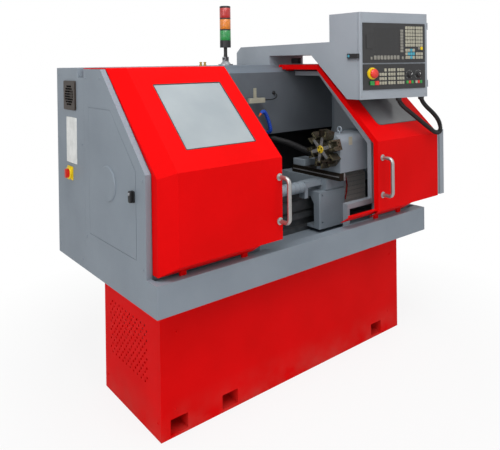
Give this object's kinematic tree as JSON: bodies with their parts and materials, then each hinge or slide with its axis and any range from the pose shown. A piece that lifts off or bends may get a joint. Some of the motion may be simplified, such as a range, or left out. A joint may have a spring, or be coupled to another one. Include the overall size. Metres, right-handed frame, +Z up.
{
  "type": "cnc turning lathe",
  "caption": "Flat-bed turning lathe in a sheet-metal enclosure, with sliding hooded doors, a tool turret and a control box on an arm over the doors.",
  "frame": {"origin": "on the floor under the middle of the base cabinet", "axes": "+X along the spindle from the headstock to the tailstock, +Y from the doors to the back, +Z up"},
  "size_m": [2.003, 1.25, 1.948],
  "materials": {
    "red_paint": "semi-gloss powder coat",
    "gray_paint": "semi-gloss powder coat",
    "machine_gray": "satin enamel on castings",
    "dark_steel": "ground and blackened steel",
    "steel": "brushed",
    "chrome_bar": "polished",
    "cast_iron": "machined casting",
    "black_plastic": "matte",
    "panel_dark": "matte membrane",
    "yellow_plastic": "gloss",
    "red_plastic": "gloss",
    "green_plastic": "gloss",
    "beige_plastic": "matte",
    "blue_plastic": "gloss",
    "rubber_black": "ribbed",
    "window_glass": "clear sheet",
    "lens_red": "coloured lens",
    "lens_amber": "coloured lens",
    "lens_green": "coloured lens",
    "hub_yellow": "gloss enamel"
  },
  "bodies": {
    "frame": {"base_cabinet": "red_paint", "chip_tray": "gray_paint", "rear_cabinet": "gray_paint", "fan_guard": "black_plastic", "main_switch_plate": "yellow_plastic", "end_housing": "gray_paint", "headstock_guard": "gray_paint", "tailstock_guard": "gray_paint", "bed": "cast_iron", "headstock": "machine_gray", "spindle_motor": "machine_gray", "drive_belt": "rubber_black", "work_lamp": "beige_plastic", "lamp_cable": "rubber_black", "coolant_hose": "blue_plastic", "control_arm": "gray_paint", "conduit_loop": "rubber_black", "tower_foot": "steel"},
    "fan": {"fan_rotor": "black_plastic"},
    "main_switch": {"main_switch_knob": "red_plastic"},
    "end_cover": {"end_cover": "gray_paint"},
    "cover_latch": {"end_cover_latch": "gray_paint"},
    "spindle": {"spindle": "steel", "chuck_body": "steel"},
    "jaw_1": {"chuck_jaw_1": "dark_steel"},
    "jaw_2": {"chuck_jaw_2": "dark_steel"},
    "jaw_3": {"chuck_jaw_3": "dark_steel"},
    "motor_pulley": {"motor_pulley": "steel"},
    "saddle": {"saddle": "machine_gray", "apron": "machine_gray", "way_cover": "steel"},
    "cross_slide": {"cross_slide": "dark_steel", "turret_housing": "machine_gray", "cable_hose": "rubber_black"},
    "turret": {"turret_head": "dark_steel", "turret_hub": "hub_yellow", "turning_tool_1": "dark_steel", "turning_tool_2": "dark_steel"},
    "tailstock": {"tailstock": "machine_gray"},
    "quill": {"tailstock_quill": "steel"},
    "left_door": {"left_door": "red_paint", "left_window": "window_glass", "left_handle": "chrome_bar"},
    "right_door": {"right_door": "red_paint", "right_window": "window_glass", "right_handle": "chrome_bar", "right_door_trim": "gray_paint"},
    "control_door": {"control_door": "gray_paint", "display_unit": "panel_dark", "key_panel": "panel_dark"},
    "emergency_stop": {"estop_button": "red_plastic"},
    "start_button": {"start_button": "green_plastic"},
    "stop_button": {"stop_button": "red_plastic"},
    "feed_knob": {"feed_knob": "black_plastic"},
    "speed_knob": {"speed_knob": "black_plastic"},
    "box_lock": {"box_lock": "black_plastic"},
    "signal_tower": {"tower_stack": "black_plastic", "lens_red": "lens_red", "lens_amber": "lens_amber", "lens_green": "lens_green"}
  },
  "joints": [
    {"name": "left_door_slide", "type": "slide", "parent": "frame", "child": "left_door", "axis": [1, 0, 0], "range_m": [0, 0.34]},
    {"name": "right_door_slide", "type": "slide", "parent": "frame", "child": "right_door", "axis": [-1, 0, 0], "range_m": [0, 0.34]},
    {"name": "saddle_slide", "type": "slide", "parent": "frame", "child": "saddle", "axis": [1, 0, 0], "range_m": [-0.52, 0.02]},
    {"name": "cross_slide_slide", "type": "slide", "parent": "saddle", "child": "cross_slide", "axis": [0, 1, 0], "range_m": [0, 0.115]},
    {"name": "turret_index", "type": "hinge", "parent": "cross_slide", "child": "turret", "pos_m": [0.298, -0.173, 1.108], "axis": [1, 0, 0], "continuous": true},
    {"name": "spindle_spin", "type": "hinge", "parent": "frame", "child": "spindle", "pos_m": [-0.48, 0.05, 1.108], "axis": [1, 0, 0], "continuous": true},
    {"name": "jaw_1_slide", "type": "slide", "parent": "spindle", "child": "jaw_1", "axis": [0, 0, 1], "range_m": [-0.02, 0.004]},
    {"name": "jaw_2_slide", "type": "slide", "parent": "spindle", "child": "jaw_2", "axis": [0, -0.866, -0.5], "range_m": [-0.02, 0.004]},
    {"name": "jaw_3_slide", "type": "slide", "parent": "spindle", "child": "jaw_3", "axis": [0, 0.866, -0.5], "range_m": [-0.02, 0.004]},
    {"name": "motor_pulley_spin", "type": "hinge", "parent": "frame", "child": "motor_pulley", "pos_m": [-0.78, 0.05, 0.4], "axis": [1, 0, 0], "continuous": true},
    {"name": "tailstock_slide", "type": "slide", "parent": "frame", "child": "tailstock", "axis": [1, 0, 0], "range_m": [-0.04, 0]},
    {"name": "quill_slide", "type": "slide", "parent": "tailstock", "child": "quill", "axis": [-1, 0, 0], "range_m": [0, 0.08]},
    {"name": "end_cover_hinge", "type": "hinge", "parent": "frame", "child": "end_cover", "pos_m": [-0.8954, 0.235, 1.087], "axis": [0, 0, -1], "range_deg": [0, 105]},
    {"name": "cover_latch_turn", "type": "hinge", "parent": "end_cover", "child": "cover_latch", "pos_m": [-0.895, -0.222, 1.044], "axis": [1, 0, 0], "range_deg": [0, 90]},
    {"name": "main_switch_turn", "type": "hinge", "parent": "frame", "child": "main_switch", "pos_m": [-0.899, 0.474, 1.04], "axis": [1, 0, 0], "range_deg": [0, 90]},
    {"name": "fan_spin", "type": "hinge", "parent": "frame", "child": "fan", "pos_m": [-0.885, 0.462, 1.438], "axis": [1, 0, 0], "continuous": true},
    {"name": "control_door_hinge", "type": "hinge", "parent": "frame", "child": "control_door", "pos_m": [0.87548, -0.45016, 1.622], "axis": [0, 0, 1], "range_deg": [0, 100]},
    {"name": "emergency_stop_press", "type": "slide", "parent": "control_door", "child": "emergency_stop", "axis": [0.2079, 0.9781, 0], "range_m": [0, 0.005], "stiffness_N_per_m": 600},
    {"name": "start_button_press", "type": "slide", "parent": "control_door", "child": "start_button", "axis": [0.2079, 0.9781, 0], "range_m": [0, 0.003], "stiffness_N_per_m": 300},
    {"name": "stop_button_press", "type": "slide", "parent": "control_door", "child": "stop_button", "axis": [0.2079, 0.9781, 0], "range_m": [0, 0.003], "stiffness_N_per_m": 300},
    {"name": "feed_knob_turn", "type": "hinge", "parent": "control_door", "child": "feed_knob", "pos_m": [0.72463, -0.43547, 1.514], "axis": [0.2079, 0.9781, 0], "range_deg": [0, 300]},
    {"name": "speed_knob_turn", "type": "hinge", "parent": "control_door", "child": "speed_knob", "pos_m": [0.79027, -0.44943, 1.514], "axis": [0.2079, 0.9781, 0], "range_deg": [0, 300]},
    {"name": "box_lock_turn", "type": "hinge", "parent": "frame", "child": "box_lock", "pos_m": [0.3835, -0.277, 1.622], "axis": [0, 0, -1], "range_deg": [0, 100]},
    {"name": "tower_fold", "type": "hinge", "parent": "frame", "child": "signal_tower", "pos_m": [0.096, 0.47, 1.618], "axis": [1, 0, 0], "range_deg": [0, 90]}
  ],
  "couplings": [
    {"joint": "jaw_2_slide", "follows": "jaw_1_slide", "ratio": 1},
    {"joint": "jaw_3_slide", "follows": "jaw_1_slide", "ratio": 1},
    {"joint": "motor_pulley_spin", "follows": "spindle_spin", "ratio": 1.5}
  ]
}
